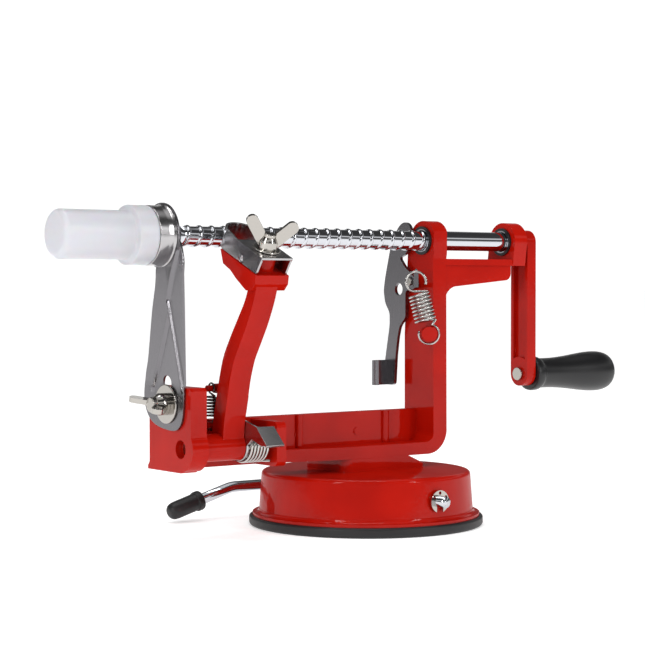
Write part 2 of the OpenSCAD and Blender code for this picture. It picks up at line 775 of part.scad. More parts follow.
// Side view of the column and bar flange with their rounded corner
module rim_outline() {
    x1 = ear_x1;
    difference() {
        union() {
            translate([column_x, bar_z + corner_r])
                square([column_t, shaft_z + ear_r - bar_z - corner_r]);
            translate([block_x1, bar_z]) square([x1 - corner_r - block_x1, flange_t]);
            intersection() {
                translate([x1 - corner_r, bar_z + corner_r]) circle(corner_r);
                translate([x1 - corner_r, bar_z]) square(corner_r);
            }
            translate([column_x - corner_in_r, bar_z + flange_t]) square(corner_in_r);
            translate([column_x - corner_in_r, bar_z + flange_t])
                square([column_t, corner_r]);
        }
        translate([column_x - corner_in_r, bar_z + flange_t + corner_in_r])
            circle(corner_in_r);
        translate([column_x - corner_r - corner_in_r, bar_z + flange_t + corner_in_r])
            square([corner_r + corner_in_r, corner_r]);
    }
}

// Plan of the rim: the flange draws in towards the end block
module rim_plan() {
    polygon([[ear_x1 + over, column_y0], [ear_x1 + over, column_y1],
        [pedestal_x0, column_y1], [axle_ear_x0, web_y1 + web_t / 2],
        [block_x1 - over, web_y1 + web_t / 2], [block_x1 - over, flange_end_y],
        [axle_ear_x0, flange_end_y], [pedestal_x0, column_y0]]);
}

module rim() {
    intersection() {
        slab_y(column_y0 - over, column_w + 2 * over) rim_outline();
        translate([0, 0, bar_z - over]) linear_extrude(shaft_z) rim_plan();
        slab_x(block_x1 - over, block_x + ear_x1) union() {
            column_outline();
            translate([column_y0 - over, bar_z]) square([column_w + 2 * over, corner_r]);
        }
    }
}

module web() {
    slab_y(web_y0, web_t) polygon([[block_x1 - over, bar_z], [column_x + over, bar_z],
        [column_x + over, bar_top_z], [block_x1 - over, bar_top_z]]);
    reach = column_x + ear_pitch;
    for (share = rib_x_shares) intersection() {
        union() {
            translate([share * reach - column_x / 3, web_y0, bar_z + rib_foot + rib_r])
                cylinder(h = bar_h - rib_foot - rib_r, r = rib_r);
            translate([share * reach - column_x / 3, web_y0, bar_z + rib_foot + rib_r])
                sphere(rib_r);
        }
        slab_y(web_y0 - rib_r, rib_r + web_t) translate([block_x0, bar_z])
            square([block_x + column_x, bar_h]);
    }
    for (share = mark_x_shares)
        rod_along_y(share * reach, web_y0 - mark_t, bar_z + bar_h * mark_z_share,
            mark_t + web_t / 2, mark_r);
}

// Side view of the rail's web: a fillet into the column, an edge that rises, a round end
module rail_web_outline() {
    x1 = right_ear_x1 - rail_end_gap;
    low_z = rail_z - rail_web_h;
    end_z = rail_z - rail_web_end_h;
    polygon([[ear_x1 - over, rail_z + over], [x1, rail_z + over], [x1, end_z + rail_end_r],
        [x1 - rail_end_r, end_z], [ear_x1 + rail_fillet_r, low_z], [ear_x1 - over, low_z]]);
    translate([x1 - rail_end_r, end_z + rail_end_r]) circle(rail_end_r);
    difference() {
        translate([ear_x1 - over, low_z - rail_fillet_r])
            square([rail_fillet_r + over, rail_fillet_r + over]);
        translate([ear_x1 + rail_fillet_r, low_z - rail_fillet_r]) circle(rail_fillet_r);
    }
}

module rail() {
    x0 = ear_x1 - over;
    translate([x0, column_y0 + column_taper / 4, rail_z])
        cube([right_ear_x1 - x0, column_w - column_taper, rail_flange_t]);
    slab_y(column_y0 + rail_web_inset, column_w - 2 * rail_web_inset) rail_web_outline();
}

module right_ear() {
    slab_x(right_ear_x0, column_t) {
        translate([0, shaft_z]) circle(ear_r);
        polygon([[-ear_r, shaft_z], [ear_r, shaft_z],
            [column_y1 - column_taper, rail_z], [column_y0 + column_taper / 4, rail_z]]);
    }
}

module end_block() {
    z1 = block_top_z;
    difference() {
        slab_x(block_x0, column_t) {
            polygon([[-axle_y, block_z0], [block_y1 + foot_flare, block_z0],
                [block_y1 + foot_flare, block_z0 + foot_flare_h / 2],
                [block_y1, block_z0 + foot_flare_h],
                [block_y1, z1 - block_chamfer], [block_y1 - block_chamfer, z1],
                [block_y0 + block_chamfer / 2, z1], [block_y0, z1 - block_chamfer / 2],
                [block_y0, axle_z]]);
            translate([-axle_y, axle_z]) circle(boss_r);
        }
        translate([block_x0 - over, block_y0 - boss_r, block_z0 - boss_r])
            cube([column_t + 2 * over, block_w + 2 * boss_r, boss_r]);
    }
}

module axle_ear() {
    slab_x(axle_ear_x0, axle_ear_t) {
        for (z = [bar_z + axle_ear_edge_r, bar_top_z - axle_ear_drop - axle_ear_edge_r])
            translate([-axle_y - axle_ear_r + axle_ear_edge_r, z]) circle(axle_ear_edge_r);
        translate([-axle_y - axle_ear_r, bar_z + axle_ear_edge_r])
            square([axle_ear_r, bar_h - axle_ear_drop - 2 * axle_ear_edge_r]);
        translate([-axle_y - axle_ear_r + axle_ear_edge_r, bar_z])
            square([axle_ear_r + axle_y + web_y1 - axle_ear_edge_r, bar_h - axle_ear_drop]);
    }
}

module spring_post() {
    translate(spring_foot - over * front_left) rotate([0, 0, -post_yaw])
        rotate([90, 0, 0]) cylinder(h = post_l + over, r = post_r);
}

module frame_casting() {
    color(red_enamel) difference() {
        union() {
            rim();
            web();
            rail();
            right_ear();
            end_block();
            axle_ear();
            spring_post();
            slab_x(lug_x, lug_t) stadium([web_y0 + web_t / 2, arm_spring_low.z],
                [arm_spring_low.y, arm_spring_low.z], lug_r);
            rod_along_x(lug_x - peg_l, arm_spring_low.y, arm_spring_low.z, peg_l + over, peg_r);
        }
        rod_along_x(column_x - over, 0, shaft_z, column_t + 2 * over, bush_r1);
        rod_along_x(right_ear_x0 - over, 0, shaft_z, column_t + 2 * over, bush_r1);
        rod_along_x(block_x0 - 2 * over, -axle_y, axle_z, axle_mouth_l + 2 * over, axle_hole_r);
        rod_along_x(block_x0, -axle_y, axle_z, axle_ear_x1 + over - block_x0, axle_r);
        rod_along_x(block_x0 - over, bolt_y, bolt_z, column_t + 2 * over, bolt_d / 2);
        rod_along_x(column_x - over, pivot_y, pivot_z, pivot_in + over, pivot_d / 2);
        at_screws() translate([0, 0, bar_z - over])
            cylinder(h = screw_l + over, r = screw_r);
    }
}

module frame_screws() {
    head_z = cover_z - cover_wall;
    color(steel) at_screws() {
        translate([0, 0, head_z + screw_head_h])
            cylinder(h = bar_z + screw_l - head_z - screw_head_h - slip_gap, r = screw_r);
        difference() {
            translate([0, 0, head_z]) cylinder(h = screw_head_h, r = screw_head_r);
            translate([-screw_head_r / 6, -screw_head_r, head_z - over])
                cube([screw_head_r / 3, 2 * screw_head_r, over + screw_head_h / 2]);
        }
    }
}

// Bushes, sleeves and shaft
module bush(x) {
    color(black_rubber) difference() {
        union() {
            rod_along_x(x, 0, shaft_z, column_t, bush_r1);
            rod_along_x(x - bush_lip_t, 0, shaft_z, bush_lip_t, bush_r1 + bush_lip);
        }
        rod_along_x(x - column_t, 0, shaft_z, 3 * column_t, bush_r0);
    }
}

module left_bush() {
    bush(column_x);
}

module right_bush() {
    bush(right_ear_x0);
}

module shaft_sleeves() {
    color(chrome) for (x = [column_x, right_ear_x0]) difference() {
        rod_along_x(x - bush_lip_t, 0, shaft_z, column_t + bush_lip_t, sleeve_r1);
        rod_along_x(x - 2 * bush_lip_t, 0, shaft_z, column_t + 3 * bush_lip_t, sleeve_r0);
    }
}

// One-start ridge, swept as a helix with a flat crest
module thread_ridge() {
    steps = thread_turns * thread_sides;
    r0 = shaft_core_r - thread_sink;
    r1 = thread_d / 2;
    foot = thread_foot_w / 2;
    crest = thread_crest_w / 2;
    section = [[-foot, r0], [-crest, r1], [crest, r1], [foot, r0]];
    run = thread_turns * thread_lead - thread_foot_w;
    points = [for (i = [0 : steps]) for (s = section)
        let (a = 360 * i / thread_sides, x = thread_start_x + foot + run * i / steps + s.x)
        [x, s.y * cos(a), shaft_z + s.y * sin(a)]];
    n = len(section);
    last = steps * n;
    walls = [for (i = [0 : steps - 1]) for (k = [0 : n - 1])
        let (a = i * n + k, b = i * n + (k + 1) % n)
        each [[a, b, a + n], [b, b + n, a + n]]];
    caps = [for (k = [1 : n - 2]) each [[0, k + 1, k], [last, last + k, last + k + 1]]];
    polyhedron(points, concat(walls, caps));
}

module drive_shaft() {
    color(chrome) {
        rod_along_x(shaft_start_x, 0, shaft_z, thread_end_x - shaft_start_x, shaft_core_r);
        rod_along_x(thread_end_x, 0, shaft_z, crank_x0 - thread_end_x, journal_r);
        rod_along_x(crank_x0, 0, shaft_z, crank_x1 - crank_x0, shaft_core_r);
        thread_ridge();
    }
}

module apple_fork() {
    color(chrome) {
        difference() {
            rod_along_x(fork_x0, 0, shaft_z, fork_hub_l, fork_hub_r);
            rod_along_x(fork_x0 + spider_t, 0, shaft_z, fork_hub_l, fork_hub_r / 2);
        }
        rod_along_x(fork_x0 + spider_t - over, 0, shaft_z, fork_hub_l - spider_t + over,
            fork_hub_r / 2);
        for (i = [0 : tine_count - 1])
            translate([0, 0, shaft_z]) rotate([360 * i / tine_count + 90, 0, 0])
            translate([0, 0, tine_ring_r]) {
                rod_along_x(fork_x0 - tine_l + tine_tip_l, 0, 0,
                    tine_l - tine_tip_l + spider_t, tine_r);
                translate([fork_x0 - tine_l + tine_tip_l, 0, 0]) rotate([0, -90, 0])
                    cylinder(h = tine_tip_l, r1 = tine_r, r2 = tine_r / 6);
            }
    }
}

// Crank
module crank_outline(grow) {
    stadium([0, shaft_z], [0, grip_z], crank_w / 2 + grow);
}

module crank_arm() {
    pocket_r = crank_w / 2 - crank_rim;
    color(red_enamel) difference() {
        union() {
            slab_x(crank_arm_x, crank_t) crank_outline(0);
            rod_along_x(crank_x0, 0, shaft_z, crank_hub_t + over, crank_w / 2);
        }
        slab_x(crank_arm_x - over, crank_pocket + over) difference() {
            translate([-pocket_r, grip_z]) square([2 * pocket_r, crank_r]);
            for (z = [shaft_z, grip_z])
                translate([0, z]) circle(crank_w / 2 + crank_solid);
        }
        rod_along_x(crank_x0 - over, 0, shaft_z, crank_x1 - crank_x0 + 2 * over, shaft_core_r);
        rod_along_x(crank_arm_x - over, 0, grip_z, crank_t + 2 * over, grip_pin_d / 2);
    }
}

module grip_pin() {
    color(chrome) {
        rod_along_x(crank_arm_x - pin_head_t, 0, grip_z, pin_head_t, pin_head_r);
        rod_along_x(crank_arm_x, 0, grip_z, grip_x0 + pin_in_grip - crank_arm_x, grip_pin_d / 2);
    }
}

// Grip: a short collar, a slim neck and a swelling with a round end
module grip_profile() {
    collar_r = grip_d * grip_collar_share / 2;
    neck_r = grip_d * grip_neck_share / 2;
    bulb_r = grip_d / 2;
    l = grip_collar_l + grip_l;
    polygon(concat([[0, 0]],
        [for (s = grip_collar_shares) [collar_r + neck_r * s[1], grip_collar_l * s[0]]],
        [[neck_r, grip_collar_l]],
        [for (s = grip_bulb_shares) [neck_r + (bulb_r - neck_r) * s[1], l * s[0]]],
        [for (s = grip_end_shares) [neck_r * s[1], l * s[0]]],
        [[0, l]]));
}

module crank_grip() {
    color(black_rubber) translate([grip_x0, 0, grip_z]) rotate([0, 90, 0]) difference() {
        rotate_extrude() grip_profile();
        translate([0, 0, -over])
            cylinder(h = pin_in_grip + over + free_gap, r = grip_pin_d / 2 + run_gap);
    }
}

// Thread release lever
function from_pivot(p) = [pivot_y + p.x, pivot_z + p.y];
function from_nose(p) = [lever_nose_from + p.x, shaft_z + p.y];

module lever_outline() {
    polygon(softened(concat([for (p = lever_nose) from_nose(p)],
        [for (p = lever_plate) from_pivot(p)], [for (p = lever_hook) from_nose(p)]), lever_corner_r));
}

// The thumb tab, bent out of the plate at its foot
module lever_tab() {
    low = from_pivot(lever_tab_at);
    x = lever_x0 - lever_tab_l + lever_bend_r;
    translate([x, low.x - lever_t, low.y])
        cube([lever_tab_l - lever_bend_r + lever_t, lever_t, lever_tab_h]);
    translate([x, low.x - lever_bend_r, low.y]) difference() {
        cylinder(h = lever_tab_h, r = lever_bend_r);
        translate([0, 0, -over]) cylinder(h = lever_tab_h + 2 * over, r = lever_bend_r - lever_t / 2);
        translate([0, -lever_bend_r - over, -over])
            cube([lever_bend_r + over, 2 * (lever_bend_r + over), lever_tab_h + 2 * over]);
    }
}

// The finger that holds the spring's upper loop
module lever_finger() {
    root = from_pivot(finger_at);
    translate([lever_x0 + lever_t / 2, root.x, root.y]) rotate([0, 0, -post_yaw])
        translate([-finger_w / 2, -finger_l, -finger_w / 2]) {
            cube([finger_w, finger_l, finger_w]);
            rotate([90, 0, 0]) translate([0, 0, -finger_w / 2]) linear_extrude(finger_w / 2)
                polygon([[0, 0], [finger_w, 0], [finger_w, finger_up - finger_w],
                    [finger_w * (1 - finger_tip_share), finger_up],
                    [finger_w * finger_tip_share, finger_up], [0, finger_up - finger_w]]);
        }
}

module release_lever() {
    hole = from_pivot(lever_hole_at);
    color(steel) {
        difference() {
            slab_x(lever_x0, lever_t) lever_outline();
            rod_along_x(lever_x0 - over, hole.x, hole.y, lever_t + 2 * over, lever_hole_r);
            rod_along_x(lever_x0 - over, pivot_y, pivot_z, lever_t + 2 * over, pivot_d / 2 + run_gap);
        }
        lever_tab();
        lever_finger();
    }
}

module release_pivot() {
    color(chrome) {
        rod_along_x(lever_x0 - slip_gap - pivot_head_t, pivot_y, pivot_z, pivot_head_t, pivot_head_r);
        rod_along_x(lever_x0 - slip_gap, pivot_y, pivot_z, column_x + pivot_in - lever_x0, pivot_d / 2);
        rod_along_x(lever_x1 + slip_gap, pivot_y, pivot_z, column_x - lever_x1 - slip_gap,
            pivot_head_r);
    }
}

release_points =
    spring_points(release_low, release_top, release_coils, front_left, coil_r, coil_r, coil_pitch);

module release_spring() {
    color(chrome) wire(release_points, wire_d / 2, front_left);
}

// Corer and slicer
// Outline of the plate as [y, distance above the bolt] up to the neck, and as shares of
// the head's radius from there on
plate_foot = [[-11.1, 9], [-10.4, -1], [-9.2, -7], [-6, -10], [-1.9, -10.6], [6.3, -9.8],
    [12.2, -8.2], [16.2, -5.4], [18.6, -1.4], [19.3, 3], [18.8, 7.5], [17.2, 12.5], [14.9, 17.2]];
plate_neck_shares = [[0.66, -2.2], [0.42, -1.62], [0.3, -1.2], [0.3, -0.9], [-1, -0.1],
    [-1.14, -0.36], [-1.26, -0.76], [-1.22, -1.2]];

module corer_arm_outline() {
    polygon(softened(concat([for (p = plate_foot) [p.x, bolt_z + p.y]],
        [for (s = plate_neck_shares) [s.x * head_r, shaft_z + s.y * head_r]]), plate_corner_r));
    translate([0, shaft_z]) circle(head_r);
}

// Side view of the plate: flat at its foot and head, leaning out in between
module plate_bend() {
    z0 = bolt_z - block_h;
    z1 = shaft_z + head_r + over;
    polygon([[plate_x0, z0], [plate_x1, z0], [plate_x1, plate_flat_z], [head_x1, head_flat_z],
        [head_x1, z1], [head_x0, z1], [head_x0, head_flat_z], [plate_x0, plate_flat_z]]);
}

module corer_arm() {
    color(steel) difference() {
        intersection() {
            slab_x(head_x0 - over, plate_lean + plate_t + 2 * over) corer_arm_outline();
            slab_y(-block_w, 2 * block_w) plate_bend();
        }
        rod_along_x(head_x0 - over, 0, shaft_z, plate_t + 2 * over, corer_r);
        slab_x(plate_x0 - over, plate_t + 2 * over)
            stadium([bolt_y, bolt_z - slot_low], [bolt_y, bolt_z + slot_high], bolt_d / 2 + slot_gap);
    }
}

// Coring tube with a flared foot that is rolled over behind the plate
module corer_ring() {
    l = corer_l;
    r0 = corer_r - corer_wall;
    color(steel) translate([head_x0, 0, shaft_z]) rotate([0, -90, 0]) rotate_extrude() {
        difference() {
            union() {
                translate([0, -plate_t - ring_lip / 2])
                    square([corer_r, l + plate_t + ring_lip / 2 - over]);
                polygon([[r0, l - over], [corer_r, l - over], [r0 + corer_wall / 6, l], [r0, l]]);
                square([band_r, band_l]);
                difference() {
                    square([flare_r, flare_l]);
                    translate([band_r + flare_l, flare_l]) circle(flare_l);
                }
                translate([corer_r - over, -plate_t - ring_lip / 2])
                    square([over + ring_lip / 2, ring_lip / 2]);
            }
            translate([-over, -l]) square([r0 + over, 3 * l]);
        }
    }
}

module corer_bolt() {
    x0 = plate_x0 - washer_t - nut_h - bolt_tail - 2 * nut_gap;
    color(chrome) {
        rod_along_x(x0, bolt_y, bolt_z, block_x1 - x0, bolt_d / 2);
        rod_along_x(block_x1, bolt_y, bolt_z, bolt_head_t / 2, bolt_head_r);
        translate([block_x1 + bolt_head_t / 2, bolt_y, bolt_z]) rotate([0, 90, 0])
            cylinder(h = bolt_head_t / 2, r1 = bolt_head_r, r2 = bolt_head_r * bolt_crown_share);
    }
}

module corer_washer() {
    color(chrome) difference() {
        rod_along_x(plate_x0 - washer_t - nut_gap / 2, bolt_y, bolt_z, washer_t, washer_r);
        rod_along_x(plate_x0 - 2 * washer_t, bolt_y, bolt_z, 3 * washer_t, bolt_d / 2 + run_gap);
    }
}

// Wing nut that stands on z = 0 and opens upwards
module wing_nut(r, h, wing, rise, bore) {
    difference() {
        union() {
            cylinder(h = h * nut_band_share, r = r);
            translate([0, 0, h * nut_band_share])
                cylinder(h = h * (1 - nut_band_share), r1 = r, r2 = r * nut_top_share);
            for (side = [0, 180]) rotate([0, 0, side]) rotate([90, 0, 0])
                translate([0, 0, -wing_t / 2]) linear_extrude(wing_t) intersection() {
                    stadium([r / 2, h / 2], [wing - wing_r, rise - wing_r], wing_r);
                    square([wing, rise]);
                }
        }
        translate([0, 0, -over]) cylinder(h = h + rise + 2 * over, r = bore + run_gap);
    }
}

module corer_nut() {
    color(chrome) translate([plate_x0 - washer_t - nut_gap, bolt_y, bolt_z])
        rotate([0, -90, 0]) rotate([0, 0, corer_nut_turn])
        wing_nut(nut_r, nut_h, wing_l, wing_h, bolt_d / 2);
}

module cap_outline() {
    r = cap_d / 2;
    m = cap_mouth_d / 2;
    square([m, cap_mouth_l - cap_step]);
    translate([0, cap_mouth_l - cap_step])
        polygon([[0, 0], [m, 0], [m - cap_step / 4, cap_step / 2], [r, cap_step], [0, cap_step]]);
    translate([0, cap_mouth_l]) square([r, cap_l - cap_mouth_l - cap_dome_r]);
    translate([0, cap_l - cap_dome_r]) square([r - cap_dome_r, cap_dome_r]);
    intersection() {
        translate([r - cap_dome_r, cap_l - cap_dome_r]) circle(cap_dome_r);
        translate([0, cap_mouth_l]) square([m, cap_l]);
    }
}

module safety_cap() {
    color(frosted) translate([cap_x1, 0, shaft_z]) rotate([0, -90, 0]) rotate_extrude() difference() {
        cap_outline();
        translate([-over, -over]) square([corer_r + run_gap + over, cap_fit_l + over]);
        translate([-over, 0]) square([cap_d / 2 - cap_wall + over, cap_l - cap_wall]);
    }
}

// Peeler arm
function from_axle(p) = [-axle_y + p.x, axle_z + p.y];
function from_front(p) = [head_front.x + p.x, head_front.y + p.y];

module arm_outline() {
    polygon(softened(concat([for (p = arm_back) from_axle(p)], [for (p = arm_top) from_front(p)],
        [for (p = arm_front) from_axle(p)]), arm_corner_r));
}

// Places children in the head's frame: x across, y back along the blade, z out of its plate
module at_head() {
    translate([blade_mid_x, head_front.x, head_front.y]) rotate([head_tilt, 0, 0]) children();
}

module arm_head() {
    at_head() {
        rotate([90, 0, 90]) translate([0, 0, -head_w / 2]) linear_extrude(head_w)
            polygon([for (p = head_side) [p.x, p.y - blade_h - slip_gap]]);
        translate([0, blade_bolt_u, -blade_h - over])
            cylinder(h = blade_h + over - blade_t - slip_gap, r = head_boss_r);
    }
}

module peeler_arm() {
    color(red_enamel) difference() {
        union() {
            slab_x(arm_x0, arm_w) arm_outline();
            arm_head();
            rod_along_x(hub_x0, -axle_y, axle_z, hub_x1 - hub_x0, hub_r);
            slab_x(lug_x, lug_t) stadium([arm_spring_top.y - 2 * hub_r, arm_spring_top.z],
                [arm_spring_top.y, arm_spring_top.z], lug_r);
            rod_along_x(lug_x - peg_l, arm_spring_top.y, arm_spring_top.z, peg_l + over, peg_r);
        }
        rod_along_x(hub_x0 - over, -axle_y, axle_z, hub_x1 - hub_x0 + 2 * over, axle_r + run_gap);
        at_head() translate([0, blade_bolt_u, -blade_h - blade_bolt_drop])
            cylinder(h = 2 * blade_h + blade_bolt_drop, r = blade_bolt_r);
    }
}

module peeler_axle() {
    color(steel) rod_along_x(axle_x0, -axle_y, axle_z, axle_ear_x1 - axle_x0, axle_r);
}

arm_spring_points = spring_points(arm_spring_low, arm_spring_top, arm_spring_coils, [-1, 0, 0],
    arm_hook_r, arm_coil_r, arm_coil_pitch);

module arm_spring() {
    color(chrome) wire(arm_spring_points, arm_wire_d / 2, [-1, 0, 0]);
}

// Latch lever: a plate on the axle with an upright finger and a thumb tab bent over the spring
module latch_lever() {
    low = from_axle(latch_tab_low);
    high = from_axle(latch_tab_high);
    out = latch_t * unit([high.y - low.y, low.x - high.x]);
    color(steel) difference() {
        union() {
            slab_x(latch_x0, latch_t) {
                translate([-axle_y, axle_z]) circle(latch_hub_r);
                polygon(softened([for (p = latch_finger) from_axle(p)], latch_corner_r));
                polygon([for (p = latch_arm) from_axle(p)]);
            }
            slab_x(latch_x0, latch_t + latch_tab_l) polygon([low, high, high + out, low + out]);
        }
        rod_along_x(latch_x0 - over, -axle_y, axle_z, latch_t + 2 * over, axle_r + run_gap);
    }
}

// Torsion spring round the axle, with one leg along the bar and one towards the latch's tab
torsion_steps = torsion_turns * coil_rings;
torsion_points = concat(
    [for (p = torsion_leg) [torsion_x0, -axle_y + p.x, axle_z - torsion_r + p.y]],
    [for (i = [0 : torsion_steps]) let (a = -90 - 360 * i / coil_rings)
        [torsion_x0 + torsion_l * i / torsion_steps, -axle_y + torsion_r * cos(a),
            axle_z + torsion_r * sin(a)]],
    [for (p = torsion_end) [torsion_x0 + torsion_l, -axle_y + p.x, axle_z - torsion_r + p.y]]);

module latch_spring() {
    color(chrome) wire(torsion_points, torsion_wire_d / 2, [1, 0, 0]);
}

// Peeling blade: a top plate on two walls that meet in a round loop near the shaft
module blade_strip() {
    straight = blade_l - blade_loop_r;
    difference() {
        union() {
            translate([-blade_w / 2, 0]) square([blade_w, straight]);
            translate([0, straight]) circle(blade_loop_r);
        }
        translate([-blade_w / 2 + blade_t, -over]) square([blade_w - 2 * blade_t, straight + over]);
        translate([0, straight]) circle(blade_loop_r - blade_t);
    }
}

module peeling_blade() {
    color(steel) at_head() difference() {
        union() {
            intersection() {
                translate([0, 0, -blade_h]) linear_extrude(blade_h + blade_rise) blade_strip();
                rotate([90, 0, 90]) translate([0, 0, -blade_w]) linear_extrude(2 * blade_w)
                    polygon([[0, 0], [blade_plate_l, 0], [blade_l - blade_loop_r / 2, blade_rise],
                        [blade_l + over, blade_rise], [blade_l + over, -blade_h], [blade_bow, -blade_h]]);
            }
            translate([-blade_w / 2, 0, -blade_t]) cube([blade_w, blade_plate_l, blade_t]);
        }
        translate([0, 0, -blade_t - over]) linear_extrude(blade_t + 2 * over)
            stadium([0, blade_bolt_u - blade_slot_l / 5], [0, blade_bolt_u + blade_slot_l / 2],
                blade_bolt_r + slot_gap);
    }
}

// A stud that is pressed into the arm's head
module blade_bolt() {
    low = -blade_h - blade_bolt_drop;
    color(chrome) at_head() translate([0, blade_bolt_u, low])
        cylinder(h = small_nut_h + blade_washer_t + blade_bolt_rise - low, r = blade_bolt_r);
}

module blade_washer() {
    color(chrome) at_head() translate([0, blade_bolt_u, nut_gap / 2]) difference() {
        cylinder(h = blade_washer_t, r = blade_washer_r);
        translate([0, 0, -over]) cylinder(h = blade_washer_t + 2 * over, r = blade_bolt_r + run_gap);
    }
}

module blade_nut() {
    color(chrome) at_head() translate([0, blade_bolt_u, blade_washer_t + nut_gap])
        rotate([0, 0, blade_nut_turn])
        wing_nut(small_nut_r, small_nut_h, small_wing_l, small_wing_h, blade_bolt_r);
}

echo(release_spring_gap = least_gap(release_points, wire_d, 5));
echo(arm_spring_gap = least_gap(arm_spring_points, arm_wire_d, 5));
echo(latch_spring_gap = least_gap(torsion_points, torsion_wire_d, 5));

suction_cup();
base_housing();
cup_plunger();
lever_rod();
lever_grip();
lever_clip();
frame_casting();
frame_screws();
left_bush();
right_bush();
shaft_sleeves();
drive_shaft();
apple_fork();
crank_arm();
grip_pin();
crank_grip();
release_lever();
release_pivot();
release_spring();
corer_arm();
corer_ring();
corer_bolt();
corer_washer();
corer_nut();
safety_cap();
peeler_axle();
peeler_arm();
arm_spring();
latch_lever();
latch_spring();
peeling_blade();
blade_bolt();
blade_washer();
blade_nut();
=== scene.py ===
# %% [markdown]
# # Hand-cranked apple peeler
# The machine in this lesson peels, cores and slices an apple. A round red base holds on to the
# worktop by suction. A red cast frame carries a threaded steel shaft with a crank. The CAD model
# gives every piece its place and size, in metres, with +X along the shaft towards the crank, -Y
# towards the viewer and +Z up. Here the pieces get the shapes, edges and finishes that the eye
# needs: enamel, plating, brushed steel, rubber and frosted plastic.

# %% Load the CAD frame, with the unit and the shaft's height
import json
import math

import bmesh
import bpy
from mathutils import Matrix, Vector


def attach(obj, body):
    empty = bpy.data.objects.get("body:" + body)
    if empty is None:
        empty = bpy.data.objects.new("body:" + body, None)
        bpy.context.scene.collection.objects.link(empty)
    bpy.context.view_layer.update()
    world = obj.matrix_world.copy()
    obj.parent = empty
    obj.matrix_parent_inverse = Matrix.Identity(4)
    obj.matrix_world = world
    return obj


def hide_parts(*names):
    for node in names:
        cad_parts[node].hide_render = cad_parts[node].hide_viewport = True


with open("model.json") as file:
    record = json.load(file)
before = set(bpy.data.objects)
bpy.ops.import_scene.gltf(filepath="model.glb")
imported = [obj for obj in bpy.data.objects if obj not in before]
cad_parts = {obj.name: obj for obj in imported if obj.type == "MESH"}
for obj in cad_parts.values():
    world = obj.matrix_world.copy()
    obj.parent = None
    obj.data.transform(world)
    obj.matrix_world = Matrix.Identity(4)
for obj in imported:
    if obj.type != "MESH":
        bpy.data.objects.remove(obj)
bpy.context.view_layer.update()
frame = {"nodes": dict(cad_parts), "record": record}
nodes = frame["nodes"]
MM = 0.001
SHAFT_Z = 121.4      # height of the shaft's axis above the table, in mm

# %% [markdown]
# ## Colours and nodes
# Colours are read off a colour chart as sRGB hex values, but the renderer works with linear
# light, so one function converts them. One more function adds a node with its settings and links,
# which keeps each material down to a few readable lines.


# %% Hex colours and one helper for nodes
def rgb(code):
    """A linear RGBA colour from an sRGB hex code."""
    shares = [int(code[i:i + 2], 16) / 255 for i in (1, 3, 5)]
    return [c / 12.92 if c <= 0.04045 else ((c + 0.055) / 1.055) ** 2.4 for c in shares] + [1.0]


def node(tree, kind, settings=None, values=None, links=None):
    """Adds a node, sets its properties and sockets, and links other nodes' sockets into it."""
    new = tree.nodes.new(kind)
    for name, value in (settings or {}).items():
        setattr(new, name, value)
    for name, value in (values or {}).items():
        new.inputs[name].default_value = value
    for name, source in (links or {}).items():
        tree.links.new(source, new.inputs[name])
    return new


def material(name, **values):
    """A new material whose surface is one Principled shader with these socket values."""
    made = bpy.data.materials.new(name)
    made.use_nodes = True
    tree = made.node_tree
    tree.nodes.clear()
    shader = node(tree, "ShaderNodeBsdfPrincipled", values={k.replace("_", " "): v for k, v in values.items()})
    node(tree, "ShaderNodeOutputMaterial", links={"Surface": shader.outputs["BSDF"]})
    return made, tree, shader

# %% [markdown]
# ## Photo studio
# A catalogue picture is taken in a bright studio: a pale floor, a large soft light overhead and
# one on each side. The world lights the part like an even white tent. Plated steel shows whatever
# surrounds it, so mirrored rays see a dark studio with a few bright bands instead, and those black
# and white stripes are what makes chrome look like chrome.

# %% Camera, floor, lights and world
scene = bpy.context.scene
scene.view_settings.view_transform = "Standard"

camera = bpy.data.objects.new("camera", bpy.data.cameras.new("camera"))
scene.collection.objects.link(camera)
camera.location = (-0.4758, -0.6111, 0.1021)
camera.rotation_euler = (math.radians(90) - 0.0209, 0, -0.6376)
camera.data.lens = 101.03
camera.data.sensor_width = 36
scene.camera = camera

floor_mesh = bpy.data.meshes.new("floor")
shape = bmesh.new()
bmesh.ops.create_circle(shape, cap_ends=True, segments=96, radius=40)
shape.to_mesh(floor_mesh)
shape.free()
floor = bpy.data.objects.new("floor", floor_mesh)
scene.collection.objects.link(floor)
paper, _, _ = material("studio_paper", Base_Color=rgb("#F8F8F8"), Roughness=0.9, Specular_IOR_Level=0.1,
                       Emission_Color=rgb("#FFFFFF"), Emission_Strength=0.36)
floor_mesh.materials.append(paper)

AIM = Vector((0, 0, 0.07))
LIGHTS = [("left_front", (-1.15, -0.45, 0.5), (0.16, 0.7), 4.2),     # name, place, size, watts
          ("right_front", (0.4, -1.2, 0.55), (0.16, 0.7), 3.6),
          ("overhead", (-0.15, -0.05, 1.2), (0.9, 0.12), 3.0)]
for name, place, (width, length), power in LIGHTS:
    lamp = bpy.data.lights.new(name, "AREA")
    lamp.shape, lamp.size, lamp.size_y, lamp.energy = "RECTANGLE", width, length, power
    lamp_object = bpy.data.objects.new(name, lamp)
    scene.collection.objects.link(lamp_object)
    turned = (AIM - Vector(place)).to_track_quat("-Z", "Y").to_matrix().to_4x4()
    lamp_object.matrix_world = Matrix.Translation(place) @ turned

